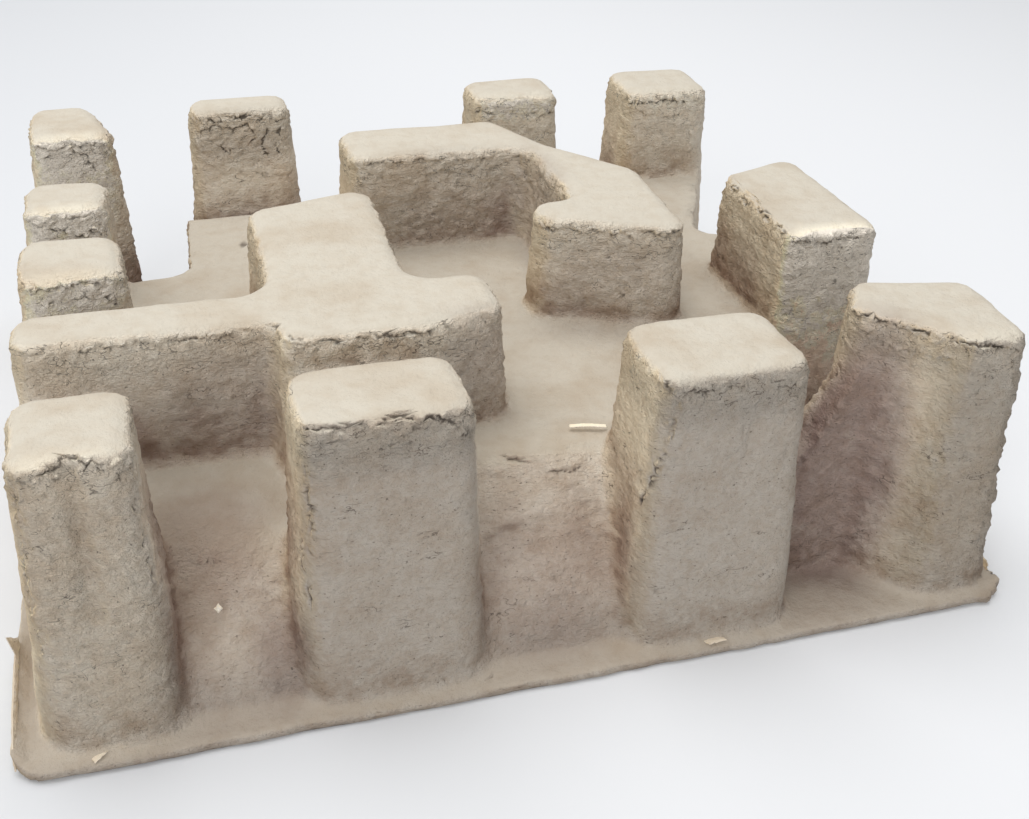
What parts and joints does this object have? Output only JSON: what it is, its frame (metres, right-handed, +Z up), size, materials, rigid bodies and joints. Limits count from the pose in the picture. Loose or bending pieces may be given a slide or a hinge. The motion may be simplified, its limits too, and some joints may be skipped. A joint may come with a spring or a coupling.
{
  "type": "moulded pulp packing insert",
  "caption": "Moulded pulp packing insert: a thin flanged plate and raised deck with hollow tapered towers that hold a product, open underneath.",
  "frame": {"origin": "on the ground at the middle of the plate", "axes": "+X along the plate's longer side, +Y from the front to the back, +Z up"},
  "size_m": [0.345, 0.317, 0.108],
  "materials": {
    "moulded_pulp": "matt, wrinkled moulded pulp"
  },
  "bodies": {
    "root": {"pulp_insert": "moulded_pulp"}
  },
  "joints": []
}
